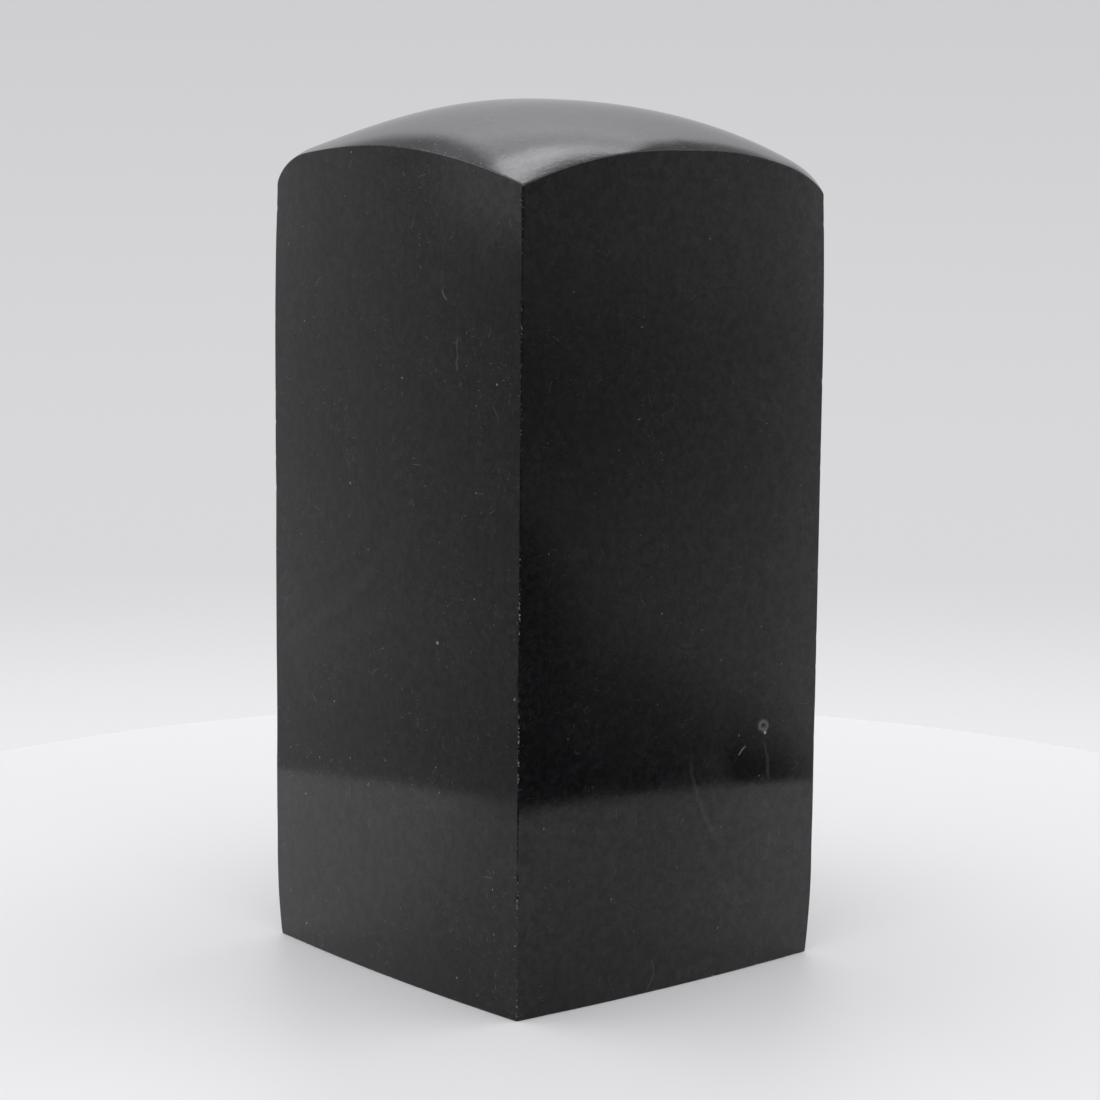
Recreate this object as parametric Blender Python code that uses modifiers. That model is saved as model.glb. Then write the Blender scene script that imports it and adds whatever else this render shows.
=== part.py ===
"""A massage stone: one square column of black stone with a domed top.

The stone is a single solid, lapped and polished on its four sides and its top.
Units are metres, +Z is up, and the origin is the centre of the flat base.
The front face looks along -Y and the left face along -X.
"""

import math

import bmesh
import bpy

MM = 0.001

# The block: its widest section, halfway up.
WIDTH = 50.0 * MM
DEPTH = 50.4 * MM
HEIGHT = 107.0 * MM

# The four sides bulge a little: FACE_CROWN is how far the middle of a side stands
# in front of its two vertical arrises.
FACE_CROWN = 0.9 * MM

# Lapping draws the sides in at both ends, by this much over this length.
BASE_DRAW = 0.42 * MM
BASE_DRAW_LENGTH = 11.7 * MM
TOP_DRAW = 0.26 * MM
TOP_DRAW_LENGTH = 20.5 * MM

# The domed top drops from its centre to the middle of each top arris. A power of 2
# makes a parabola, and a higher one makes a flatter crest.
DOME_FALL_ACROSS = 5.86 * MM
DOME_POWER_ACROSS = 2.02
DOME_FALL_ALONG = 5.26 * MM
DOME_POWER_ALONG = 2.43

# The dome was ground by hand and isn't even. It leans: its left arris is this much
# higher and its right one this much lower. Towards the right arris the power along Y
# grows by DOME_POWER_TURN, which makes that side fuller.
DOME_LEAN = 0.58 * MM
DOME_POWER_TURN = 0.72

# Each corner stands this much above the even dome. The keys are the corner's
# directions along X and Y.
CORNER_LIFT = {
    (-1, -1): 1.81 * MM,
    (1, -1): 1.75 * MM,
    (-1, 1): 2.54 * MM,
    (1, 1): 1.21 * MM,
}
CORNER_LIFT_POWER = 1.5

# The tips of two opposite corners are worn round: how deep each round is, and the
# share of the way from the centre to the corner that it takes up. A fullness of 1
# would make a full quarter round, upright at its end.
CORNER_WEAR = {(1, -1): 1.53 * MM, (-1, 1): 3.5 * MM}
CORNER_WEAR_REACH = 0.135
CORNER_WEAR_FULLNESS = 0.98

# Every arris is eased by a small round.
ARRIS_RADIUS = 0.2 * MM
ARRIS_SEGMENTS = 2
ARRIS_ANGLE = math.radians(40.0)

# The mesh: steps along each edge of the block. END_CROWDING, from 0 to 1, moves
# the grid lines towards the arrises, where the surface turns most.
GRID_STEPS = 16
END_CROWDING = 0.6

STONE_COLOUR = (0.014, 0.014, 0.015, 1.0)
STONE_ROUGHNESS = 0.2


def clear_scene():
    """Remove every object that the scene starts with."""
    for old in list(bpy.data.objects):
        bpy.data.objects.remove(old, do_unlink=True)


def new_collection(name):
    """A collection for the stone, linked to the scene."""
    collection = bpy.data.collections.new(name)
    bpy.context.scene.collection.children.link(collection)
    return collection


def stone_material():
    """Polished black stone."""
    material = bpy.data.materials.new("black_stone")
    material.use_nodes = True
    shader = material.node_tree.nodes["Principled BSDF"]
    shader.inputs["Base Color"].default_value = STONE_COLOUR
    shader.inputs["Roughness"].default_value = STONE_ROUGHNESS
    shader.inputs["Metallic"].default_value = 0.0
    return material


def crowd_to_ends(share):
    """Move a grid line at `share` (0 to 1) of the way towards the nearer end."""
    return share - END_CROWDING * math.sin(math.tau * share) / math.tau


def end_share(distance, length):
    """1 at an end of the block, easing to 0 at `length` from it."""
    return max(0.0, 1.0 - distance / length) ** 2


def corner_wear(across, along, side_x, side_y):
    """0 away from a corner, rising in a round to nearly 1 at its tip."""
    towards_corner = (side_x * across + side_y * along) / 2.0
    share = max(0.0, 1.0 - (1.0 - towards_corner) / CORNER_WEAR_REACH)
    return 1.0 - math.sqrt(1.0 - CORNER_WEAR_FULLNESS * share ** 2)


def dome_height(across, along):
    """Height of the domed top, for `across` and `along` from -1 to 1 over the block."""
    power_along = DOME_POWER_ALONG + DOME_POWER_TURN * across
    height = HEIGHT - DOME_LEAN * across
    height -= DOME_FALL_ACROSS * abs(across) ** DOME_POWER_ACROSS
    height -= DOME_FALL_ALONG * abs(along) ** power_along
    for (side_x, side_y), lift in CORNER_LIFT.items():
        nearness = (1.0 + side_x * across) * (1.0 + side_y * along) / 4.0
        height += lift * nearness * abs(across * along) ** CORNER_LIFT_POWER
    for (side_x, side_y), depth in CORNER_WEAR.items():
        height -= depth * corner_wear(across, along, side_x, side_y)
    return height


def stone_point(across, along, up):
    """The point of the stone for a point of the plain block.

    `across` and `along` run from -1 to 1 over X and Y, and `up` from 0 to 1.
    """
    top = dome_height(across, along)
    height = up * top
    draw = BASE_DRAW * end_share(height, BASE_DRAW_LENGTH)
    draw += TOP_DRAW * end_share(top - height, TOP_DRAW_LENGTH)
    half_width = WIDTH / 2.0 - FACE_CROWN * along ** 2 - draw
    half_depth = DEPTH / 2.0 - FACE_CROWN * across ** 2 - draw
    return (across * half_width, along * half_depth, height)


def merge_base(mesh_edit):
    """Make the flat base one face."""
    base = [face for face in mesh_edit.faces if all(vert.co.z == 0.0 for vert in face.verts)]
    bmesh.ops.dissolve_faces(mesh_edit, faces=base, use_verts=False)


def stone_mesh():
    """A gridded block, bent to the stone's shape."""
    mesh_edit = bmesh.new()
    bmesh.ops.create_cube(mesh_edit, size=1.0)
    bmesh.ops.subdivide_edges(
        mesh_edit, edges=mesh_edit.edges[:], cuts=GRID_STEPS - 1, use_grid_fill=True
    )
    for vert in mesh_edit.verts:
        across = 2.0 * crowd_to_ends(vert.co.x + 0.5) - 1.0
        along = 2.0 * crowd_to_ends(vert.co.y + 0.5) - 1.0
        up = crowd_to_ends(vert.co.z + 0.5)
        vert.co = stone_point(across, along, up)
    merge_base(mesh_edit)
    mesh = bpy.data.meshes.new("massage_stone")
    mesh_edit.to_mesh(mesh)
    mesh_edit.free()
    return mesh


def add_massage_stone(collection):
    """The stone, with its arrises eased."""
    stone = bpy.data.objects.new("massage_stone", stone_mesh())
    stone.data.materials.append(stone_material())
    collection.objects.link(stone)
    easing = stone.modifiers.new("eased_arrises", "BEVEL")
    easing.width = ARRIS_RADIUS
    easing.segments = ARRIS_SEGMENTS
    easing.limit_method = "ANGLE"
    easing.angle_limit = ARRIS_ANGLE
    stone.data.shade_smooth()
    stone.data.set_sharp_from_angle(angle=ARRIS_ANGLE)
    return stone


def build():
    clear_scene()
    collection = new_collection("basalt_massage_stone")
    add_massage_stone(collection)


build()
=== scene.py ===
"""The looks of the massage stone: one column of polished black stone on a pale turntable.

The stone's surface is rebuilt finely over its CAD solid, with soft worn arrises and
the faint waves that hand lapping leaves. The material adds grain, veins, flecks,
dust fibres, a few single marks and pale bruises along the arrises. Units are metres,
+Z is up.
"""

import math

import bmesh
import bpy
import numpy as np
from mathutils import Matrix, Vector, noise


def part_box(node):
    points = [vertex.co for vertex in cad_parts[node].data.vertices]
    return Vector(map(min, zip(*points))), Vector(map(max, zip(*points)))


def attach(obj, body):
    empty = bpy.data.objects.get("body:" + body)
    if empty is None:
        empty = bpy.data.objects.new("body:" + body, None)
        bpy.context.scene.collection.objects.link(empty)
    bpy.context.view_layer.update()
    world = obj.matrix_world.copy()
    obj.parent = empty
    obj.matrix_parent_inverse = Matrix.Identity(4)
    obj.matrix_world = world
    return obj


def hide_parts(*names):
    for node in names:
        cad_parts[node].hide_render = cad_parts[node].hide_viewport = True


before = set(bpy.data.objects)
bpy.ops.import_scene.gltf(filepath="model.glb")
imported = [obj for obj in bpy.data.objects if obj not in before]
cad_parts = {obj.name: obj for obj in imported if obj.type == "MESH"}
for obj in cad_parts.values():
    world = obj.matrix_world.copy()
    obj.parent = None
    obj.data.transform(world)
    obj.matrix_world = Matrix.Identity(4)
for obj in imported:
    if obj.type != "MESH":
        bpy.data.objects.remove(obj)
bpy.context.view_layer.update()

MM = 0.001
NODE = "massage_stone"

# ---------------------------------------------------------------- the stone's shape

LOW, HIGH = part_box(NODE)
WIDTH = HIGH[0] - LOW[0]
DEPTH = HIGH[1] - LOW[1]
HEIGHT = HIGH[2] - LOW[2]

# These sizes are the part's own, and so is the shape that they give: the bulge of the
# sides, the draw-in at both ends, and the domed top with its corners.
FACE_CROWN = 0.9 * MM
BASE_DRAW = 0.42 * MM
BASE_DRAW_LENGTH = 11.7 * MM
TOP_DRAW = 0.26 * MM
TOP_DRAW_LENGTH = 20.5 * MM

DOME_FALL_ACROSS = 5.86 * MM
DOME_POWER_ACROSS = 2.02
DOME_FALL_ALONG = 5.26 * MM
DOME_POWER_ALONG = 2.43
DOME_LEAN = 0.58 * MM
DOME_POWER_TURN = 0.72
CORNER_LIFT = {
    (-1, -1): 1.81 * MM,
    (1, -1): 1.75 * MM,
    (-1, 1): 2.54 * MM,
    (1, 1): 1.21 * MM,
}
CORNER_LIFT_POWER = 1.5
CORNER_WEAR = {(1, -1): 1.53 * MM, (-1, 1): 3.5 * MM}
CORNER_WEAR_REACH = 0.135
CORNER_WEAR_FULLNESS = 0.98

HALF_BLOCK = np.array([WIDTH / 2.0, DEPTH / 2.0, HEIGHT / 2.0])
BLOCK_CENTRE = np.array([0.0, 0.0, HEIGHT / 2.0])

# The round on the arrises, how much more the worn stretches and the chips are rounded,
# and how many times per millimetre they come and go. A higher CHIP_RARITY leaves fewer
# chips, and CHIP_OFFSET keeps their noise apart from the wear's. The arrises of the
# domed top are the crispest: they get TOP_ARRIS_SHARE of the wear and the chips.
ARRIS_RADIUS = 0.11 * MM
ARRIS_WEAR = 0.22 * MM
WEAR_PER_MM = 0.11
ARRIS_CHIP = 0.70 * MM
CHIPS_PER_MM = 0.9
CHIP_RARITY = 0.46
CHIP_OFFSET = Vector((7.0, 3.0, 5.0))
TOP_ARRIS_SHARE = 0.35

# Three larger chips in the front arris: how high up they are, and their size.
FRONT_CHIPS = (12.0 * MM, 19.5 * MM, 91.6 * MM)
FRONT_CHIP_DEPTH = 0.22 * MM
CHIP_HALF_LENGTH = 0.35 * MM

# How far the pale bruises reach from an arris, and their share on the top's arrises.
BRUISE_REACH = 0.30 * MM
TOP_BRUISE_SHARE = 0.75

# The mesh's lines are FINEST_STEP apart at an arris, each step LINE_GROWTH times the
# last, until they are LINE_STEP_AROUND apart round the stone or LINE_STEP_UP up it.
FINEST_STEP = 0.035 * MM
LINE_GROWTH = 1.4
LINE_STEP_AROUND = 0.8 * MM
LINE_STEP_UP = 0.5 * MM

# Lapping waves: shallow hollows in the polished faces.
WAVE_DEPTH = 0.014 * MM
WAVE_LENGTH = 15.0 * MM

# The surface map lays each side out flat, in millimetres, and these shifts keep the
# sides apart: the left one lies round u = -200 and the front one round u = -500. Off
# the middle of a side, its share fades from 1 to 0 over SIDE_FADE.
SIDE_SHIFT = 200.0
FRONT_SHIFT = 500.0
TOP_SHIFT = 800.0
SIDE_FADE = (40.0, 60.0)
FLAT_TOLERANCE = 0.001


def line_places(length, step):
    """Places along one side of the block, close together at both of its arrises."""
    near = [0.0]
    gap = FINEST_STEP
    while gap < step:
        near.append(near[-1] + gap)
        gap *= LINE_GROWTH
    inner = length - 2.0 * near[-1]
    count = max(1, round(inner / step))
    middle = [near[-1] + inner * k / count for k in range(1, count)]
    far = [length - place for place in reversed(near)]
    return np.array(near + middle + far)


def end_share(distance, length):
    """1 at an end, easing to 0 at `length` from it."""
    return np.clip(1.0 - distance / length, 0.0, None) ** 2


def corner_wear(across, along, side_x, side_y):
    """0 away from a corner, rising in a round to nearly 1 at its tip."""
    towards_corner = (side_x * across + side_y * along) / 2.0
    share = np.clip(1.0 - (1.0 - towards_corner) / CORNER_WEAR_REACH, 0.0, None)
    return 1.0 - np.sqrt(1.0 - CORNER_WEAR_FULLNESS * share ** 2)


def dome_height(across, along):
    """Height of the domed top, for `across` and `along` from -1 to 1 over the block."""
    power_along = DOME_POWER_ALONG + DOME_POWER_TURN * across
    height = HEIGHT - DOME_LEAN * across
    height = height - DOME_FALL_ACROSS * np.abs(across) ** DOME_POWER_ACROSS
    height = height - DOME_FALL_ALONG * np.abs(along) ** power_along
    for (side_x, side_y), lift in CORNER_LIFT.items():
        nearness = (1.0 + side_x * across) * (1.0 + side_y * along) / 4.0
        height = height + lift * nearness * np.abs(across * along) ** CORNER_LIFT_POWER
    for (side_x, side_y), depth in CORNER_WEAR.items():
        height = height - depth * corner_wear(across, along, side_x, side_y)
    return height


def bend_block(block):
    """The stone's points for points of a plain block standing on z = 0, in metres."""
    across = block[:, 0] / (WIDTH / 2.0)
    along = block[:, 1] / (DEPTH / 2.0)
    top = dome_height(across, along)
    height = block[:, 2] / HEIGHT * top
    draw = BASE_DRAW * end_share(height, BASE_DRAW_LENGTH)
    draw = draw + TOP_DRAW * end_share(top - height, TOP_DRAW_LENGTH)
    half_width = WIDTH / 2.0 - FACE_CROWN * along ** 2 - draw
    half_depth = DEPTH / 2.0 - FACE_CROWN * across ** 2 - draw
    return np.stack([across * half_width, along * half_depth, height], axis=1)


def front_chip(point):
    """From 0 to 1: how near this point is to one of the larger chips in the front arris."""
    if point[0] > 0.0 or point[1] > 0.0:
        return 0.0
    return max(math.exp(-((point[2] - up) / CHIP_HALF_LENGTH) ** 2) for up in FRONT_CHIPS)


def arris_radius(point):
    """How round the arris is near this point: a small even round, worn and chipped."""
    place = Vector(point) / MM
    worn = max(0.0, noise.noise(place * WEAR_PER_MM)) * ARRIS_WEAR
    crumbled = noise.noise(place * CHIPS_PER_MM + CHIP_OFFSET)
    chip = max(0.0, crumbled - CHIP_RARITY) * ARRIS_CHIP
    if point[2] > HEIGHT - ARRIS_CHIP:
        return ARRIS_RADIUS + (worn + chip) * TOP_ARRIS_SHARE
    return ARRIS_RADIUS + worn + max(chip, front_chip(point) * FRONT_CHIP_DEPTH)


def ease_arrises(block):
    """Round the plain block's arrises, by as much as arris_radius says."""
    out = np.abs(block - BLOCK_CENTRE)
    from_side = HALF_BLOCK - out
    widest = ARRIS_RADIUS + ARRIS_WEAR + ARRIS_CHIP
    near = np.sum(from_side < widest, axis=1) >= 2
    eased = block.copy()
    for index in np.flatnonzero(near):
        radius = arris_radius(block[index])
        inner = np.minimum(out[index], HALF_BLOCK - radius)
        lean = out[index] - inner
        reach = np.linalg.norm(lean)
        if reach > 0.0:
            rounded = inner + lean / reach * radius
            eased[index] = BLOCK_CENTRE + np.copysign(rounded, block[index] - BLOCK_CENTRE)
    return eased


def arris_nearness(block):
    """1 on an arris of the block, falling off within a millimetre.

    It is less at the top, and up to 2 at the larger chips in the front arris.
    """
    from_side = np.sort(HALF_BLOCK - np.abs(block - BLOCK_CENTRE), axis=1)
    nearness = np.exp(-from_side[:, 1] / BRUISE_REACH)
    at_top = block[:, 2] > HEIGHT - BRUISE_REACH
    chipped = np.array([front_chip(point) for point in block])
    return np.where(at_top, TOP_BRUISE_SHARE, 1.0) * nearness * (1.0 + chipped)


def lapping_wave(point):
    """How far the polished surface is hollowed at this point, as a negative height."""
    place = Vector(point) / WAVE_LENGTH
    return WAVE_DEPTH * (noise.noise(place) - 1.0) / 2.0


def gridded_block():
    """A block with its mesh lines crowded to the arrises, as a bmesh."""
    places = [
        line_places(WIDTH, LINE_STEP_AROUND) - WIDTH / 2.0,
        line_places(DEPTH, LINE_STEP_AROUND) - DEPTH / 2.0,
        line_places(HEIGHT, LINE_STEP_UP),
    ]
    block = bmesh.new()
    bmesh.ops.create_cube(block, size=1.0)
    for axis, lines in enumerate(places):
        along_axis = []
        for edge in block.edges:
            run = edge.verts[1].co - edge.verts[0].co
            if abs(run[axis]) > 0.5:
                along_axis.append(edge)
        bmesh.ops.subdivide_edges(
            block, edges=along_axis, cuts=len(lines) - 2, use_grid_fill=True
        )
    for vert in block.verts:
        for axis, lines in enumerate(places):
            share = vert.co[axis] + 0.5
            vert.co[axis] = lines[round(share * (len(lines) - 1))]
    return block


def map_faces(mesh, block):
    """A UV map in millimetres, laid flat on each of the block's six sides."""
    uv = mesh.uv_layers.new(name="surface_mm")
    flat = block / MM
    size = np.array([WIDTH, DEPTH, HEIGHT]) / MM
    for face in mesh.polygons:
        corners = flat[list(face.vertices)]
        middle = corners.mean(axis=0)
        if abs(abs(middle[0]) - size[0] / 2.0) < FLAT_TOLERANCE:
            pair, shift = corners[:, [1, 2]], SIDE_SHIFT * np.sign(middle[0])
        elif abs(abs(middle[1]) - size[1] / 2.0) < FLAT_TOLERANCE:
            pair, shift = corners[:, [0, 2]], FRONT_SHIFT * np.sign(middle[1])
        else:
            pair, shift = corners[:, [0, 1]], TOP_SHIFT
        for loop, (across, up) in zip(face.loop_indices, pair):
            uv.data[loop].uv = (across + shift, up)


def stone_mesh():
    """The fine surface of the stone."""
    grid = gridded_block()
    mesh = bpy.data.meshes.new("polished_stone")
    grid.to_mesh(mesh)
    grid.free()
    block = np.array([vert.co[:] for vert in mesh.vertices])
    shaped = bend_block(ease_arrises(block))
    map_faces(mesh, block)
    nearness = mesh.attributes.new("arris", "FLOAT", "POINT")
    nearness.data.foreach_set("value", arris_nearness(block))
    mesh.vertices.foreach_set("co", shaped.ravel())
    mesh.update()
    normals = np.array([vert.normal[:] for vert in mesh.vertices])
    waves = np.array([lapping_wave(point) for point in shaped])
    standing = shaped[:, 2] > ARRIS_RADIUS
    shaped = shaped + normals * (waves * standing)[:, None]
    mesh.vertices.foreach_set("co", shaped.ravel())
    mesh.shade_smooth()
    mesh.update()
    return mesh


# ------------------------------------------------------------------ shader building


class Graph:
    """Adds shader nodes to a tree and joins them up."""

    def __init__(self, tree):
        self.tree = tree

    def add(self, kind, inputs=None, **settings):
        """One node. `inputs` holds values or other nodes' outputs, by socket."""
        node = self.tree.nodes.new(kind)
        for name, value in settings.items():
            setattr(node, name, value)
        for key, value in (inputs or {}).items():
            self.feed(node.inputs[key], value)
        return node

    def feed(self, socket, value):
        """Give a socket a plain value, or join it to another node's output."""
        if isinstance(value, bpy.types.NodeSocket):
            self.tree.links.new(value, socket)
        else:
            socket.default_value = value

    def calc(self, operation, *values, clamp=False):
        """A Math node's output."""
        inputs = dict(enumerate(values))
        node = self.add("ShaderNodeMath", inputs, operation=operation, use_clamp=clamp)
        return node.outputs[0]

    def vector(self, operation, *values):
        """A Vector Math node, for its Vector or Value output."""
        return self.add("ShaderNodeVectorMath", dict(enumerate(values)), operation=operation)

    def ease(self, value, low, high, to_low=0.0, to_high=1.0):
        """Smoothly from `to_low` at `low` to `to_high` at `high`, and level beyond."""
        inputs = {"Value": value, "From Min": low, "From Max": high}
        inputs.update({"To Min": to_low, "To Max": to_high})
        node = self.add("ShaderNodeMapRange", inputs, interpolation_type="SMOOTHSTEP")
        return node.outputs["Result"]

    def line(self, value, low, high, to_low, to_high):
        """In a straight line from `to_low` at `low` to `to_high` at `high`, level beyond."""
        inputs = {"Value": value, "From Min": low, "From Max": high}
        inputs.update({"To Min": to_low, "To Max": to_high})
        return self.add("ShaderNodeMapRange", inputs).outputs["Result"]

    def hump(self, value, centre, spread):
        """1 where `value` is at `centre`, falling to near 0 at twice the spread."""
        away = self.calc("DIVIDE", self.calc("SUBTRACT", value, centre), spread)
        squared = self.calc("MULTIPLY", away, away)
        return self.calc("EXPONENT", self.calc("MULTIPLY", squared, -1.0))

    def blend(self, share, first, second):
        """A number between two others. Sockets 2 and 3 of a Mix node hold numbers."""
        return self.add("ShaderNodeMix", {0: share, 2: first, 3: second}).outputs[0]

    def mix(self, share, first, second):
        """A colour between two others. Sockets 6 and 7 of a Mix node hold colours."""
        node = self.add("ShaderNodeMix", data_type="RGBA")
        self.feed(node.inputs[0], share)
        self.feed(node.inputs[6], first)
        self.feed(node.inputs[7], second)
        return node.outputs[2]

    def noise(self, place, scale, detail=3.0, roughness=0.5, distortion=0.0, flat=False):
        """A noise value from 0 to 1 around 0.5."""
        inputs = {"Vector": place, "Scale": scale, "Detail": detail}
        inputs.update({"Roughness": roughness, "Distortion": distortion})
        sides = "2D" if flat else "3D"
        node = self.add("ShaderNodeTexNoise", inputs, noise_dimensions=sides)
        return node.outputs[0]


# --------------------------------------------------------------- the stone's material

DARK_STONE = (0.0042, 0.0042, 0.0046, 1.0)
PALE_STONE = (0.0125, 0.0122, 0.0138, 1.0)
VEIN = (0.032, 0.032, 0.033, 1.0)
BRUISE = (0.50, 0.50, 0.49, 1.0)
DUST = (0.36, 0.36, 0.36, 1.0)
STONE_IOR = 1.51

# How many times per millimetre each pattern comes and goes, in the stone or on it.
CLOUDS_PER_MM = 0.06
GRAIN_PER_MM = 1.1
SPARKLE_PER_MM = 0.75
VEINS_PER_MM = 0.045
VEIN_BREAKS_PER_MM = 0.16
SMEARS_PER_MM = 0.05
DUST_PATCHES_PER_MM = 0.09
CRUMBLE_PER_MM = 2.6
BRUISED_STRETCHES_PER_MM = 0.10

# The noise values between which each pattern fades in.
CLOUD_LEVELS = (0.3, 0.7)
GRAIN_LEVELS = (0.34, 0.70)
SPARKLE_LEVELS = (0.38, 0.62)
VEIN_BREAK_LEVELS = (0.50, 0.66)
SMEAR_LEVELS = (0.3, 0.7)
DUST_PATCH_LEVELS = (0.40, 0.60)
CRUMBLE_LEVELS = (0.54, 0.66)
BRUISED_STRETCH_LEVELS = (0.42, 0.62)

# The palest grain in the darkest clouds, and the veins' width and strength.
LEAST_GRAIN = 0.5
VEIN_WIDTH = 0.012
VEIN_STRENGTH = 0.35

# The polish: its roughness, how far smears lower and raise it, and what the grain, the
# dust and the bruises make of it. LEAST_SHINE is the dimmest share of the shine, over
# the duller minerals.
POLISH = 0.07
SMOOTHEST = POLISH * 0.8
DULLEST = POLISH * 1.25
GRAIN_ROUGHNESS = 0.012
DUST_ROUGHNESS = 0.7
BRUISE_ROUGHNESS = 0.6
LEAST_SHINE = 0.70

# The least dust between the dusty patches, and the extra dust on the left side and on
# the top, as a share of what the others hold.
LEAST_DUST = 0.15
DUST_ON_LEFT = 1.3
DUST_ON_TOP = 2.5

# Specks and marks are pushed out of shape: how many times per millimetre, and how far.
SPECK_RUFFLES_PER_MM = 3.0
SPECK_RUFFLE = 0.22
MARK_RUFFLES_PER_MM = 0.8
MARK_RUFFLE = 0.35

# Specks: the smallest as a share of the largest, and how soft their edge is, in mm.
SMALLEST_SPECK = 0.35
SPECK_EDGE = 0.03

# Hairs: the shortest as a share of the longest, how strongly they curl, per millimetre,
# and the firm share of their thickness.
SHORTEST_FIBRE = 0.5
FIBRE_CURL = 0.3
FIBRE_CORE = 0.4

# Single marks: the firm share of a blot and of a stroke, and the share of a stroke's
# length that fades out at each end.
BLOT_CORE = 0.5
STROKE_CORE = 0.3
STROKE_FADE = 0.12

# The bruises thin out from the lower to the upper of these heights, in millimetres.
# LEAST_BRUISED is what stays of them on the soundest stretches, and they fade in between
# these two values of arris_nearness.
BRUISE_THINNING = (45.0, 70.0)
BRUISE_SHARE_HIGH_UP = 0.45
LEAST_BRUISED = 0.1
BRUISED_NEARNESS = (0.40, 1.0)

# How high the grain, the dust and the bruises stand or sink, in millimetres, and the
# extra relief of the top's coarser polish.
GRAIN_RELIEF = 0.0020
DUST_RELIEF = 0.006
BRUISE_RELIEF = 0.012
RELIEF_ON_TOP = 1.6


def ruffled(graph, surface, per_mm, reach):
    """The surface map, pushed about by up to `reach` either way."""
    push = graph.add(
        "ShaderNodeTexNoise",
        {"Vector": surface, "Scale": per_mm, "Detail": 2.0},
        noise_dimensions="2D",
    ).outputs["Color"]
    centred = graph.vector("SUBTRACT", push, (0.5, 0.5, 0.5)).outputs["Vector"]
    spread = graph.vector("MULTIPLY", centred, (2.0 * reach, 2.0 * reach, 0.0))
    return graph.vector("ADD", surface, spread.outputs["Vector"]).outputs["Vector"]


def blot(graph, surface, place, radius):
    """A round spot with a soft edge, at a place on the surface map."""
    distance = graph.vector("DISTANCE", surface, (*place, 0.0)).outputs["Value"]
    return graph.ease(distance, radius * BLOT_CORE, radius, 1.0, 0.0)


def ring(graph, surface, place, radius, thickness):
    """A soft ring round a place on the surface map."""
    distance = graph.vector("DISTANCE", surface, (*place, 0.0)).outputs["Value"]
    return graph.hump(distance, radius, thickness)


def stroke(graph, surface, start, end, bow, thickness):
    """A soft line between two places on the surface map, its middle bowed sideways."""
    run = Vector((end[0] - start[0], end[1] - start[1], 0.0))
    length = run.length
    ahead = run / length
    aside = Vector((-ahead.y, ahead.x, 0.0))
    local = graph.vector("SUBTRACT", surface, (*start, 0.0)).outputs["Vector"]
    travelled = graph.vector("DOT_PRODUCT", local, ahead).outputs["Value"]
    share = graph.calc("DIVIDE", travelled, length)
    left_over = graph.calc("SUBTRACT", 1.0, share)
    arch = graph.calc("MULTIPLY", graph.calc("MULTIPLY", share, left_over), 4.0 * bow)
    offset = graph.vector("DOT_PRODUCT", local, aside).outputs["Value"]
    away = graph.calc("ABSOLUTE", graph.calc("SUBTRACT", offset, arch))
    across = graph.ease(away, thickness * STROKE_CORE, thickness, 1.0, 0.0)
    nearest_end = graph.calc("MINIMUM", share, left_over)
    return graph.calc("MULTIPLY", across, graph.ease(nearest_end, 0.0, STROKE_FADE))


def on_left(across, up):
    """A place on the surface map, in millimetres from the middle and foot of the left side."""
    return (across - SIDE_SHIFT, up)


def on_front(across, up):
    """A place on the surface map, in millimetres from the middle and foot of the front."""
    return (across - FRONT_SHIFT, up)


def single_marks(graph, surface):
    """The few larger marks: a pit with its pale ring, spots, scratches and streaks.

    Each row holds a mark's strength and its shape.
    """
    wavy = ruffled(graph, surface, MARK_RUFFLES_PER_MM, MARK_RUFFLE)
    marks = [
        (0.28, ring(graph, wavy, on_front(15.2, 32.8), 0.60, 0.28)),
        (1.0, blot(graph, surface, on_front(15.5, 31.9), 0.26)),
        (0.9, blot(graph, surface, on_left(-10.3, 46.0), 0.26)),
        (0.05, stroke(graph, wavy, on_front(15.3, 31.0), on_front(16.2, 25.0), 0.3, 0.40)),
        (0.3, stroke(graph, surface, on_front(10.7, 29.2), on_front(12.0, 30.4), 0.1, 0.16)),
        (0.035, stroke(graph, wavy, on_front(2.2, 30.0), on_front(7.0, 18.8), -0.7, 0.5)),
        (0.03, stroke(graph, wavy, on_front(16.8, 18.6), on_front(15.6, 14.2), 0.3, 0.5)),
        (0.09, stroke(graph, surface, on_front(-4.5, 0.2), on_front(-3.8, 4.6), -0.9, 0.14)),
        (0.018, stroke(graph, wavy, on_left(24.0, 41.5), on_left(1.0, 54.8), 1.2, 1.5)),
        (0.010, stroke(graph, wavy, on_left(22.0, 37.5), on_left(-3.0, 49.0), -0.8, 2.0)),
        (0.12, stroke(graph, wavy, on_left(-13.9, 85.6), on_left(-13.8, 81.0), 0.1, 0.16)),
        (0.25, stroke(graph, surface, on_left(-10.9, 90.6), on_left(-11.9, 89.4), 0.2, 0.16)),
    ]
    return strongest(graph, marks)


def specks(graph, surface, per_mm, share, radius):
    """Small flecks: a share of the cells hold one, each of its own size."""
    cells = graph.add(
        "ShaderNodeTexVoronoi",
        {"Vector": surface, "Scale": per_mm, "Randomness": 1.0},
        voronoi_dimensions="2D",
    )
    colour = graph.add("ShaderNodeSeparateColor", {"Color": cells.outputs["Color"]})
    chosen = graph.calc("LESS_THAN", colour.outputs[0], share)
    size = graph.ease(colour.outputs[1], 0.0, 1.0, SMALLEST_SPECK, 1.0)
    edge = graph.calc("MULTIPLY", size, radius * per_mm)
    inside = graph.calc("SUBTRACT", edge, cells.outputs["Distance"])
    soft = graph.calc("DIVIDE", inside, SPECK_EDGE * per_mm, clamp=True)
    return graph.calc("MULTIPLY", soft, chosen)


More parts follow.
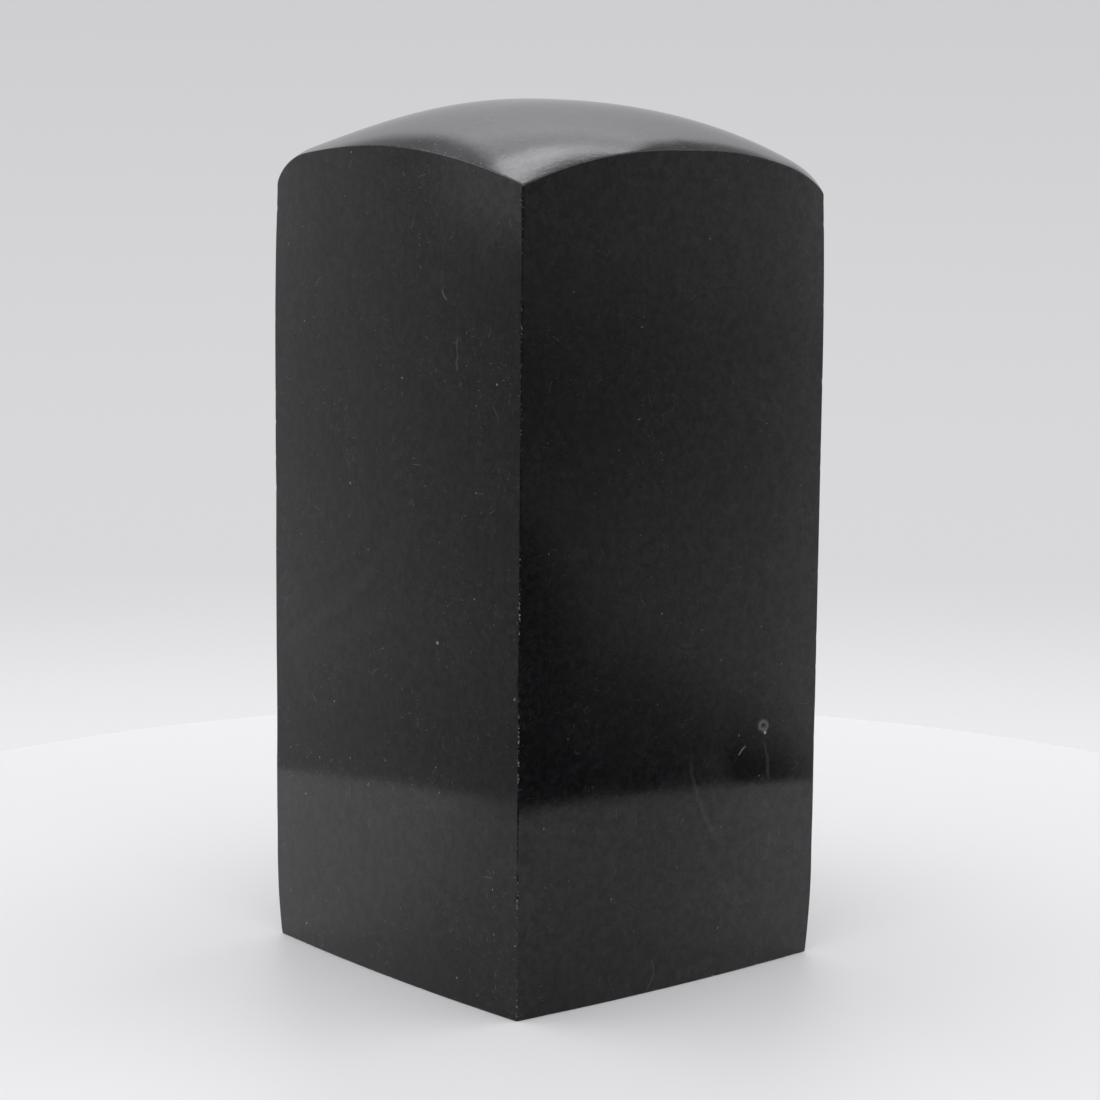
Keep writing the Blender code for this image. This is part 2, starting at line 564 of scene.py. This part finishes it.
def fibres(graph, surface, per_mm, share, length, thickness):
    """Short curled hairs: a share of the cells hold one, each turned its own way."""
    cells = graph.add(
        "ShaderNodeTexVoronoi",
        {"Vector": surface, "Scale": per_mm, "Randomness": 1.0},
        voronoi_dimensions="2D",
    )
    colour = graph.add("ShaderNodeSeparateColor", {"Color": cells.outputs["Color"]})
    chosen = graph.calc("LESS_THAN", colour.outputs[0], share)
    local = graph.vector("SUBTRACT", surface, cells.outputs["Position"]).outputs["Vector"]
    turn = graph.calc("MULTIPLY", colour.outputs[1], math.tau)
    turned = graph.add(
        "ShaderNodeVectorRotate",
        {"Vector": local, "Angle": turn},
        rotation_type="Z_AXIS",
    ).outputs["Vector"]
    parts = graph.add("ShaderNodeSeparateXYZ", {"Vector": turned})
    curl = graph.ease(colour.outputs[2], 0.0, 1.0, -FIBRE_CURL, FIBRE_CURL)
    squared = graph.calc("POWER", graph.calc("ABSOLUTE", parts.outputs[0]), 2.0)
    bow = graph.calc("MULTIPLY", squared, curl)
    aside = graph.calc("ABSOLUTE", graph.calc("SUBTRACT", parts.outputs[1], bow))
    reach = graph.calc("ABSOLUTE", parts.outputs[0])
    longest = length / 2.0
    half = graph.ease(colour.outputs[2], 0.0, 1.0, SHORTEST_FIBRE * longest, longest)
    across = graph.ease(aside, thickness * FIBRE_CORE, thickness, 1.0, 0.0)
    within = graph.calc("LESS_THAN", reach, half)
    return graph.calc("MULTIPLY", graph.calc("MULTIPLY", across, within), chosen)


def strongest(graph, layers):
    """The highest of several masks, each scaled by the strength that comes before it."""
    scaled = [graph.calc("MULTIPLY", mask, strength) for strength, mask in layers]
    best = scaled[0]
    for mask in scaled[1:]:
        best = graph.calc("MAXIMUM", best, mask)
    return best


def on_side(graph, surface, shift):
    """1 on the side that lies round u = `shift` on the surface map, and 0 elsewhere."""
    across = graph.add("ShaderNodeSeparateXYZ", {"Vector": surface}).outputs[0]
    away = graph.calc("ABSOLUTE", graph.calc("SUBTRACT", across, shift))
    return graph.ease(away, *SIDE_FADE, 1.0, 0.0)


def stone_colour(graph, body, grain):
    """The stone's own colour: clouded grain with thin, broken veins."""
    cloud = graph.noise(body, CLOUDS_PER_MM, detail=4.0, roughness=0.6, distortion=0.6)
    clouded = graph.ease(cloud, *CLOUD_LEVELS, LEAST_GRAIN, 1.0)
    mottle = graph.calc("MULTIPLY", clouded, graph.ease(grain, *GRAIN_LEVELS))
    colour = graph.mix(mottle, DARK_STONE, PALE_STONE)
    wisp = graph.noise(body, VEINS_PER_MM, detail=6.0, roughness=0.62, distortion=1.4)
    ridge = graph.calc("ABSOLUTE", graph.calc("SUBTRACT", wisp, 0.5))
    vein = graph.ease(ridge, 0.0, VEIN_WIDTH, 1.0, 0.0)
    breaks = graph.noise(body, VEIN_BREAKS_PER_MM, detail=3.0)
    vein = graph.calc("MULTIPLY", vein, graph.ease(breaks, *VEIN_BREAK_LEVELS))
    return graph.mix(graph.calc("MULTIPLY", vein, VEIN_STRENGTH), colour, VEIN)


def dust_cover(graph, surface, top):
    """How much dust, hair or mark lies on each place, from 0 to 1."""
    patches = graph.noise(surface, DUST_PATCHES_PER_MM, detail=2.0, flat=True)
    patchy = graph.ease(patches, *DUST_PATCH_LEVELS, LEAST_DUST, 1.0)
    rough_map = ruffled(graph, surface, SPECK_RUFFLES_PER_MM, SPECK_RUFFLE)
    layers = [
        (0.30, specks(graph, rough_map, per_mm=0.28, share=0.20, radius=0.14)),
        (0.13, specks(graph, rough_map, per_mm=0.9, share=0.14, radius=0.10)),
        (0.03, specks(graph, rough_map, per_mm=2.3, share=0.4, radius=0.11)),
        (0.07, fibres(graph, surface, per_mm=0.14, share=0.35, length=1.8, thickness=0.08)),
        (0.06, fibres(graph, surface, per_mm=0.6, share=0.20, length=0.7, thickness=0.08)),
    ]
    dust = graph.calc("MULTIPLY", strongest(graph, layers), patchy)
    left = on_side(graph, surface, -SIDE_SHIFT)
    dustiness = graph.calc("MULTIPLY_ADD", left, DUST_ON_LEFT, 1.0)
    dustiness = graph.calc("MULTIPLY_ADD", top, DUST_ON_TOP, dustiness)
    dust = graph.calc("MULTIPLY", dust, dustiness)
    return graph.calc("MAXIMUM", dust, single_marks(graph, surface))


def bruised_arrises(graph, body):
    """How bruised each place is, from 0 to 1: crumbled stretches of the arrises."""
    arris = graph.add("ShaderNodeAttribute", attribute_name="arris").outputs["Fac"]
    crumble = graph.noise(body, CRUMBLE_PER_MM, detail=4.0, roughness=0.75)
    stretches = graph.noise(body, BRUISED_STRETCHES_PER_MM, detail=2.0)
    stretch = graph.ease(stretches, *BRUISED_STRETCH_LEVELS, LEAST_BRUISED, 1.0)
    up = graph.add("ShaderNodeSeparateXYZ", {"Vector": body}).outputs[2]
    thinned = graph.ease(up, *BRUISE_THINNING, 1.0, BRUISE_SHARE_HIGH_UP)
    stretch = graph.calc("MULTIPLY", stretch, thinned)
    worn = graph.calc("MULTIPLY", graph.ease(crumble, *CRUMBLE_LEVELS), stretch)
    return graph.calc("MULTIPLY", worn, graph.ease(arris, *BRUISED_NEARNESS))


def roughness(graph, surface, grain, dust, bruise):
    """The polish, smeared in places and dulled by the grain, the dust and the bruises."""
    smear = graph.noise(
        surface, SMEARS_PER_MM, detail=4.0, roughness=0.6, distortion=0.8, flat=True
    )
    rough = graph.ease(smear, *SMEAR_LEVELS, SMOOTHEST, DULLEST)
    rough = graph.calc("ADD", rough, graph.calc("MULTIPLY", grain, GRAIN_ROUGHNESS))
    rough = graph.calc("MAXIMUM", rough, graph.calc("MULTIPLY", dust, DUST_ROUGHNESS))
    return graph.calc("MAXIMUM", rough, graph.calc("MULTIPLY", bruise, BRUISE_ROUGHNESS))


def shine_tint(graph, sparkle):
    """The colour of the shine: a little dimmer over the duller minerals."""
    shine = graph.ease(sparkle, *SPARKLE_LEVELS, LEAST_SHINE, 1.0)
    tint = graph.add("ShaderNodeCombineColor", {"Red": shine, "Green": shine, "Blue": shine})
    return tint.outputs["Color"]


def fine_relief(graph, texture, dust, bruise, top):
    """The surface's normal, with the relief of the polish, the dust and the bruises."""
    relief = graph.calc("MULTIPLY", texture, GRAIN_RELIEF)
    coarseness = graph.calc("MULTIPLY_ADD", top, RELIEF_ON_TOP, 1.0)
    relief = graph.calc("MULTIPLY", relief, coarseness)
    relief = graph.calc("ADD", relief, graph.calc("MULTIPLY", dust, DUST_RELIEF))
    relief = graph.calc("SUBTRACT", relief, graph.calc("MULTIPLY", bruise, BRUISE_RELIEF))
    return graph.add("ShaderNodeBump", {"Distance": MM, "Height": relief}).outputs["Normal"]


def stone_material():
    """Polished black stone with its grain, veins, flecks, dust and bruised arrises."""
    material = bpy.data.materials.new("polished_black_stone")
    material.use_nodes = True
    graph = Graph(material.node_tree)
    shader = material.node_tree.nodes["Principled BSDF"]

    in_metres = graph.add("ShaderNodeTexCoord").outputs["Object"]
    body = graph.add(
        "ShaderNodeVectorMath", {"Vector": in_metres, "Scale": 1.0 / MM}, operation="SCALE"
    ).outputs["Vector"]
    surface = graph.add("ShaderNodeUVMap", uv_map="surface_mm").outputs["UV"]
    grain = graph.noise(body, GRAIN_PER_MM, detail=4.0, roughness=0.75)
    sparkle = graph.noise(body, SPARKLE_PER_MM, detail=4.0, roughness=0.95)
    top = on_side(graph, surface, TOP_SHIFT)
    dust = dust_cover(graph, surface, top)
    bruise = bruised_arrises(graph, body)

    colour = stone_colour(graph, body, grain)
    colour = graph.mix(dust, colour, DUST)
    colour = graph.mix(bruise, colour, BRUISE)
    graph.feed(shader.inputs["Base Color"], colour)
    graph.feed(shader.inputs["Roughness"], roughness(graph, surface, grain, dust, bruise))
    shader.inputs["IOR"].default_value = STONE_IOR
    graph.feed(shader.inputs["Specular Tint"], shine_tint(graph, sparkle))
    texture = graph.calc("ADD", grain, sparkle)
    graph.feed(shader.inputs["Normal"], fine_relief(graph, texture, dust, bruise, top))
    return material


def add_stone():
    """The polished stone, in place of its plain CAD solid."""
    stone = bpy.data.objects.new("polished_stone", stone_mesh())
    stone.data.materials.append(stone_material())
    bpy.context.scene.collection.objects.link(stone)
    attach(stone, "root")
    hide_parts(NODE)
    return stone


# --------------------------------------------------------------- turntable and studio

# The stone stands off the middle of a round turntable.
TABLE_RADIUS = 126.0 * MM
TABLE_CENTRE = (16.6 * MM, 12.4 * MM)
TABLE_THICKNESS = 6.0 * MM
TABLE_SEGMENTS = 256
TABLE_RIM = 1.2 * MM
RIM_SEGMENTS = 4
SHARP_ANGLE = math.radians(40.0)
TABLE_COLOUR = (0.78, 0.78, 0.78, 1.0)
TABLE_ROUGHNESS = 0.55

# Directions are given as bearings, counter-clockwise from +X, and as heights above the
# horizon, both in degrees.

# Painted shade: for all rays but the camera's, the table is darker on this side.
PAINTED_TABLE_SHADE_BEARING = -130.0
TABLE_PAINTED_SHADE_COLOUR = (0.52, 0.52, 0.52, 1.0)
PAINTED_TABLE_SHADE_FROM_TO = (0.0 * MM, 34.0 * MM)

# The studio is a pale tent. TENT_BEARING points away from its opening. A direction's
# "facing" is 1 towards that bearing and -1 towards the opening, and the walls get paler
# with it by TENT_TURN. RIGHT_HALF is the same count sideways: the left walls go over
# into the right ones between its values.
TENT_BEARING = 42.0
TENT_LIGHT = 0.45
TENT_TURN = 0.70
TENT_DARKEST = 0.14
TENT_PALEST = 0.64
RIGHT_HALF = (-0.3, 0.3)

# Each wall is dimmer in a low band, its waist. On the right the waist is deeper towards
# the opening. The left wall is also dimmer at its foot.
WAIST_HEIGHT = -6.8
WAIST_SPREAD = 2.8
WAIST_ON_LEFT = 0.10
WAIST_FACING = (-0.17, 0.15)
WAIST_ON_RIGHT = (0.50, 0.20)
FOOT_HEIGHTS = (-13.2, -10.8)
FOOT_ON_LEFT = 0.18

# A lit strip of the left wall at the level of the stone's top, and a paler stretch of
# the right wall. They fade in over their START bearings and out over their END ones.
STRIP_LIGHT = 0.42
STRIP_START = (129.0, 136.0)
STRIP_END = (142.0, 150.0)
STRIP_HEIGHTS = (-3.3, -1.5)
GLOW_LIGHT = 0.16
GLOW_START = (-42.0, -34.0)
GLOW_END = (-30.0, -20.0)

# The roof starts above the walls. It is brighter over the opening, brighter to the left
# of the panel than to its right, and brightest straight above.
ROOF_HEIGHTS = (3.0, 14.0)
ROOF_LIGHT = 0.40
ROOF_LIGHT_IN_FRONT = 1.17
ROOF_FACING = (-0.6, 0.3)
SLANT_BEARINGS = (36.0, 62.0)
SLANT_LIGHT = (-0.20, 0.28)
SLANT_FACING = (0.3, 0.6)
SLANT_HEIGHTS = (33.0, 44.0)
CROWN_LIGHT = 0.50
CROWN_HEIGHTS = (52.0, 66.0)

# The lit panel that rises behind the stone, mirrored in the dome. Its right edge stands
# further in by PANEL_LOW_INSET at its foot and by PANEL_HIGH_INSET at its top. The top
# edge is at PANEL_TOP at PANEL_TOP_BEARING and climbs to the left.
PANEL_RIGHT = 33.5
PANEL_LEFT = 62.7
PANEL_SOFT = 1.8
PANEL_LOW_INSET = 3.0
PANEL_LOW_HEIGHTS = (10.0, 18.0)
PANEL_HIGH_INSET = 1.9
PANEL_HIGH_HEIGHTS = (32.0, 37.0)
PANEL_FOOT = (-6.0, 3.0)
PANEL_TOP_BEARING = 37.0
PANEL_TOP = 44.6
PANEL_TOP_CLIMB = 0.42
PANEL_TOP_SOFT = 1.0

# The panel's light grows with height, e times every PANEL_CLIMB_HEIGHT, up to a limit.
# Just under its top edge is a brighter band, wider and brighter to the left.
PANEL_LIGHT = 0.43
PANEL_LIGHT_CLIMB = 0.10
PANEL_CLIMB_HEIGHT = 15.0
PANEL_MOST_CLIMB = 1.28
BAND_BEARINGS = (37.0, 62.0)
BAND_FEET = (42.7, 48.2)
BAND_SOFT = 1.0
BAND_GAIN_BEARINGS = (40.0, 52.0)
BAND_GAINS = (0.8, 1.75)

# The dark gap low down to the right of the camera. Its top, the sill, falls away from
# the camera in a steep part and a long part. The gap is deepest at its foot, which has
# a paler break and reaches higher beyond the break.
SILL_STEEP_BEARINGS = (-59.0, -54.0)
SILL_STEEP_HEIGHTS = (-8.9, -10.8)
SILL_LONG_BEARINGS = (-54.0, -37.5)
SILL_LONG_FALL = (0.0, -2.2)
SILL_SOFT = 0.8
GAP_DEPTH_BEARINGS = (-57.5, -54.0)
GAP_DEPTHS = (0.86, 0.68)
GAP_END = (-38.0, -33.0)
GAP_FOOT_STEP = (-45.0, -43.5)
GAP_FOOT_TOPS = (-13.05, -12.15)
GAP_FOOT_BEARINGS = (-43.0, -38.0)
GAP_FOOT_FALL = (0.0, -0.75)
GAP_FOOT_SOFT = 0.12
GAP_FOOT_DEPTH = 0.30
FOOT_BREAK_BEARING = -44.8
FOOT_BREAK_SPREAD = 1.2

# What the camera sees behind the table: paler at the table's level than above it.
BACKDROP_LOW_HEIGHTS = (-12.8, -9.4)
BACKDROP_LIGHT = (0.84, 0.69)
BACKDROP_HIGH_HEIGHTS = (-9.4, 3.0)
BACKDROP_FALL = (0.0, 0.08)
STUDIO_TINT = (1.0, 1.0, 1.03, 1.0)

# Two large soft lamps, high up on either side.
LAMP_BEARINGS = (117.0, -17.0)
LAMP_HEIGHT = 60.0
LAMP_DISTANCE = 1.2
LAMP_SIZE = 0.9
LAMP_POWER = 2.6
LAMP_TINT = (1.0, 1.0, 1.015)


def bearing_vector(bearing):
    """A level unit vector in that direction."""
    angle = math.radians(bearing)
    return (math.cos(angle), math.sin(angle), 0.0)


def table_material():
    """Matt white, with painted shade on one side that the stone's mirror sees but the camera
    does not.
    """
    material = bpy.data.materials.new("pale_table")
    material.use_nodes = True
    shader = material.node_tree.nodes["Principled BSDF"]
    shader.inputs["Roughness"].default_value = TABLE_ROUGHNESS
    graph = Graph(material.node_tree)
    place = graph.add("ShaderNodeNewGeometry").outputs["Position"]
    outwards = graph.vector("DOT_PRODUCT", place, bearing_vector(PAINTED_TABLE_SHADE_BEARING))
    painted_shade_share = graph.ease(outwards.outputs["Value"], *PAINTED_TABLE_SHADE_FROM_TO)
    # Painted shade: darker towards the camera's side, for all rays but the camera's.
    mirrored = graph.mix(painted_shade_share, TABLE_COLOUR, TABLE_PAINTED_SHADE_COLOUR)
    seen = graph.add("ShaderNodeLightPath").outputs["Is Camera Ray"]
    graph.feed(shader.inputs["Base Color"], graph.mix(seen, mirrored, TABLE_COLOUR))
    return material


def add_turntable():
    """A thin round pale table with an eased rim."""
    disc = bmesh.new()
    bmesh.ops.create_cone(
        disc, cap_ends=True, segments=TABLE_SEGMENTS, radius1=TABLE_RADIUS,
        radius2=TABLE_RADIUS, depth=TABLE_THICKNESS,
    )
    mesh = bpy.data.meshes.new("turntable")
    disc.to_mesh(mesh)
    disc.free()
    table = bpy.data.objects.new("turntable", mesh)
    table.location = (*TABLE_CENTRE, -TABLE_THICKNESS / 2.0)
    bpy.context.scene.collection.objects.link(table)
    rim = table.modifiers.new("eased_rim", "BEVEL")
    rim.width = TABLE_RIM
    rim.segments = RIM_SEGMENTS
    mesh.shade_smooth()
    mesh.set_sharp_from_angle(angle=SHARP_ANGLE)
    mesh.materials.append(table_material())


def waist_shade(graph, facing, on_right, height):
    """1, or less in the low dim band round the walls."""
    waist_on_right = graph.line(facing, *WAIST_FACING, *WAIST_ON_RIGHT)
    depth = graph.blend(on_right, WAIST_ON_LEFT, waist_on_right)
    waist = graph.calc("MULTIPLY", graph.hump(height, WAIST_HEIGHT, WAIST_SPREAD), depth)
    return graph.calc("SUBTRACT", 1.0, waist)


def foot_shade(graph, on_right, height):
    """1, or less at the foot of the left wall."""
    foot = graph.ease(height, *FOOT_HEIGHTS, FOOT_ON_LEFT, 0.0)
    foot = graph.calc("MULTIPLY", foot, graph.calc("SUBTRACT", 1.0, on_right))
    return graph.calc("SUBTRACT", 1.0, foot)


def between(graph, bearing, start, end):
    """1 between two bearings, fading in over `start` and out over `end`."""
    begun = graph.ease(bearing, *start)
    ended = graph.ease(bearing, *end)
    return graph.calc("MULTIPLY", begun, graph.calc("SUBTRACT", 1.0, ended))


def wall_light(graph, facing, sideways, bearing, height):
    """Light of the tent's walls, dimmer towards the opening."""
    on_right = graph.ease(sideways, *RIGHT_HALF)
    wall = graph.calc("ADD", TENT_LIGHT, graph.calc("MULTIPLY", facing, TENT_TURN))
    wall = graph.calc("MINIMUM", graph.calc("MAXIMUM", wall, TENT_DARKEST), TENT_PALEST)
    wall = graph.calc("MULTIPLY", wall, waist_shade(graph, facing, on_right, height))
    wall = graph.calc("MULTIPLY", wall, foot_shade(graph, on_right, height))
    strip = between(graph, bearing, STRIP_START, STRIP_END)
    strip = graph.calc("MULTIPLY", strip, graph.ease(height, *STRIP_HEIGHTS))
    wall = graph.calc("MULTIPLY_ADD", strip, STRIP_LIGHT, wall)
    glow = between(graph, bearing, GLOW_START, GLOW_END)
    return graph.calc("MULTIPLY_ADD", glow, GLOW_LIGHT, wall)


def roof_light(graph, facing, bearing, height):
    """Light of the tent's roof."""
    roof = graph.ease(facing, *ROOF_FACING, ROOF_LIGHT_IN_FRONT, ROOF_LIGHT)
    slant = graph.line(bearing, *SLANT_BEARINGS, *SLANT_LIGHT)
    round_panel = graph.calc(
        "MULTIPLY",
        graph.ease(facing, *SLANT_FACING),
        graph.ease(height, *SLANT_HEIGHTS),
    )
    roof = graph.calc("MULTIPLY_ADD", slant, round_panel, roof)
    return graph.calc("ADD", roof, graph.ease(height, *CROWN_HEIGHTS, 0.0, CROWN_LIGHT))


def tent_light(graph, direction, bearing, height):
    """Light from the tent: its walls, and its roof over them."""
    ahead = bearing_vector(TENT_BEARING)
    rightwards = bearing_vector(TENT_BEARING - 90.0)
    facing = graph.vector("DOT_PRODUCT", direction, ahead).outputs["Value"]
    sideways = graph.vector("DOT_PRODUCT", direction, rightwards).outputs["Value"]
    wall = wall_light(graph, facing, sideways, bearing, height)
    roof = roof_light(graph, facing, bearing, height)
    return graph.blend(graph.ease(height, *ROOF_HEIGHTS), wall, roof)


def over_panel_edge(graph, bearing, height):
    """How many degrees above the panel's top edge a direction is."""
    leftwards = graph.calc("SUBTRACT", bearing, PANEL_TOP_BEARING)
    edge = graph.calc("MULTIPLY_ADD", leftwards, PANEL_TOP_CLIMB, PANEL_TOP)
    return graph.calc("SUBTRACT", height, edge)


def panel_light(graph, bearing, height):
    """Light of the panel behind the stone, brighter towards its top."""
    climb = graph.calc("EXPONENT", graph.calc("DIVIDE", height, PANEL_CLIMB_HEIGHT))
    climb = graph.calc("MULTIPLY", climb, PANEL_LIGHT_CLIMB)
    level = graph.calc("ADD", PANEL_LIGHT, graph.calc("MINIMUM", climb, PANEL_MOST_CLIMB))
    band_foot = graph.line(bearing, *BAND_BEARINGS, *BAND_FEET)
    band = graph.ease(graph.calc("SUBTRACT", height, band_foot), -BAND_SOFT, BAND_SOFT)
    gain = graph.line(bearing, *BAND_GAIN_BEARINGS, *BAND_GAINS)
    return graph.calc("MULTIPLY_ADD", band, gain, level)


def panel_share(graph, bearing, height):
    """1 on the panel and 0 off it."""
    low_part = graph.ease(height, *PANEL_LOW_HEIGHTS, PANEL_LOW_INSET, 0.0)
    high_part = graph.ease(height, *PANEL_HIGH_HEIGHTS, 0.0, PANEL_HIGH_INSET)
    inset = graph.calc("ADD", low_part, high_part)
    from_right = graph.calc("SUBTRACT", graph.calc("SUBTRACT", bearing, PANEL_RIGHT), inset)
    right = graph.ease(from_right, -PANEL_SOFT, PANEL_SOFT)
    left = graph.ease(bearing, PANEL_LEFT - PANEL_SOFT, PANEL_LEFT + PANEL_SOFT, 1.0, 0.0)
    over_edge = over_panel_edge(graph, bearing, height)
    below_top = graph.ease(over_edge, -PANEL_TOP_SOFT, PANEL_TOP_SOFT, 1.0, 0.0)
    above_foot = graph.ease(height, *PANEL_FOOT)
    wide = graph.calc("MULTIPLY", right, left)
    return graph.calc("MULTIPLY", wide, graph.calc("MULTIPLY", below_top, above_foot))


def gap_foot(graph, bearing, height):
    """The extra depth of the gap at its foot."""
    step = graph.ease(bearing, *GAP_FOOT_STEP, *GAP_FOOT_TOPS)
    slope = graph.line(bearing, *GAP_FOOT_BEARINGS, *GAP_FOOT_FALL)
    over_foot = graph.calc("SUBTRACT", height, graph.calc("ADD", step, slope))
    at_foot = graph.ease(over_foot, -GAP_FOOT_SOFT, GAP_FOOT_SOFT, GAP_FOOT_DEPTH, 0.0)
    gone = graph.hump(bearing, FOOT_BREAK_BEARING, FOOT_BREAK_SPREAD)
    return graph.calc("MULTIPLY", at_foot, graph.calc("SUBTRACT", 1.0, gone))


def gap_shade(graph, bearing, height):
    """1, or less in the dark gap low down to the right of the camera."""
    steep_part = graph.line(bearing, *SILL_STEEP_BEARINGS, *SILL_STEEP_HEIGHTS)
    long_part = graph.line(bearing, *SILL_LONG_BEARINGS, *SILL_LONG_FALL)
    sill = graph.calc("ADD", steep_part, long_part)
    under = graph.ease(graph.calc("SUBTRACT", sill, height), -SILL_SOFT, SILL_SOFT)
    depth = graph.line(bearing, *GAP_DEPTH_BEARINGS, *GAP_DEPTHS)
    depth = graph.calc("ADD", depth, gap_foot(graph, bearing, height), clamp=True)
    depth = graph.calc("MULTIPLY", depth, graph.line(bearing, *GAP_END, 1.0, 0.0))
    return graph.calc("SUBTRACT", 1.0, graph.calc("MULTIPLY", under, depth))


def backdrop_light(graph, height):
    """What the camera sees behind the table: pale, brighter towards the table."""
    low = graph.ease(height, *BACKDROP_LOW_HEIGHTS, *BACKDROP_LIGHT)
    high = graph.ease(height, *BACKDROP_HIGH_HEIGHTS, *BACKDROP_FALL)
    return graph.calc("SUBTRACT", low, high)


def add_studio():
    """The tent as the world's light."""
    world = bpy.data.worlds.new("studio")
    world.use_nodes = True
    bpy.context.scene.world = world
    tree = world.node_tree
    tree.nodes.clear()
    graph = Graph(tree)
    direction = graph.add("ShaderNodeTexCoord").outputs["Generated"]
    x, y, z = graph.add("ShaderNodeSeparateXYZ", {"Vector": direction}).outputs
    bearing = graph.calc("DEGREES", graph.calc("ARCTAN2", y, x))
    height = graph.calc("DEGREES", graph.calc("ARCSINE", z))
    wall = tent_light(graph, direction, bearing, height)
    wall = graph.calc("MULTIPLY", wall, gap_shade(graph, bearing, height))
    panel = panel_light(graph, bearing, height)
    studio = graph.blend(panel_share(graph, bearing, height), wall, panel)
    seen = graph.add("ShaderNodeLightPath").outputs["Is Camera Ray"]
    strength = graph.blend(seen, studio, backdrop_light(graph, height))
    light = graph.add("ShaderNodeBackground", {"Color": STUDIO_TINT, "Strength": strength})
    out = graph.add("ShaderNodeOutputWorld")
    graph.feed(out.inputs["Surface"], light.outputs[0])


def add_lamps():
    """The soft lamps, aimed at the stone's foot."""
    for bearing in LAMP_BEARINGS:
        lamp = bpy.data.lights.new("soft_lamp", "AREA")
        lamp.shape = "DISK"
        lamp.size = LAMP_SIZE
        lamp.energy = LAMP_POWER
        lamp.color = LAMP_TINT
        holder = bpy.data.objects.new("soft_lamp", lamp)
        level = Vector(bearing_vector(bearing)) * math.cos(math.radians(LAMP_HEIGHT))
        towards = level + Vector((0.0, 0.0, math.sin(math.radians(LAMP_HEIGHT))))
        holder.location = towards * LAMP_DISTANCE
        holder.rotation_euler = (-towards).to_track_quat("-Z", "Y").to_euler()
        bpy.context.scene.collection.objects.link(holder)


# -------------------------------------------------------------------------- camera

CAMERA_LENS = 107.28
SENSOR = 36.0
CAMERA_AZIMUTH = -39.98
CAMERA_ELEVATION = 9.41
CAMERA_ROLL = -0.544
CAMERA_DISTANCE = 411.5 * MM
AIM_HEIGHT = 50.0 * MM
AIM_RIGHT = 0.61 * MM
AIM_DOWN = -0.87 * MM
NEAREST_SEEN = 10.0 * MM


def add_camera():
    """The camera, a little above the dome's crest and looking a little down."""
    turn = math.radians(CAMERA_AZIMUTH)
    tilt = math.radians(CAMERA_ELEVATION)
    roll = math.radians(CAMERA_ROLL)
    back = Vector(
        (math.sin(turn) * math.cos(tilt), -math.cos(turn) * math.cos(tilt), math.sin(tilt))
    )
    level_right = Vector((0.0, 0.0, 1.0)).cross(back).normalized()
    level_up = back.cross(level_right)
    right = level_right * math.cos(roll) - level_up * math.sin(roll)
    up = level_right * math.sin(roll) + level_up * math.cos(roll)
    place = Vector((0.0, 0.0, AIM_HEIGHT)) + back * CAMERA_DISTANCE
    place += right * AIM_RIGHT - up * AIM_DOWN
    camera = bpy.data.cameras.new("camera")
    camera.lens = CAMERA_LENS
    camera.sensor_width = SENSOR
    camera.clip_start = NEAREST_SEEN
    holder = bpy.data.objects.new("camera", camera)
    holder.matrix_world = Matrix(
        (
            (right.x, up.x, back.x, place.x),
            (right.y, up.y, back.y, place.y),
            (right.z, up.z, back.z, place.z),
            (0.0, 0.0, 0.0, 1.0),
        )
    )
    bpy.context.scene.collection.objects.link(holder)
    bpy.context.scene.camera = holder


# --------------------------------------------------------------------------- scene

add_stone()
add_turntable()
add_studio()
add_lamps()
add_camera()
bpy.context.scene.view_settings.view_transform = "Standard"
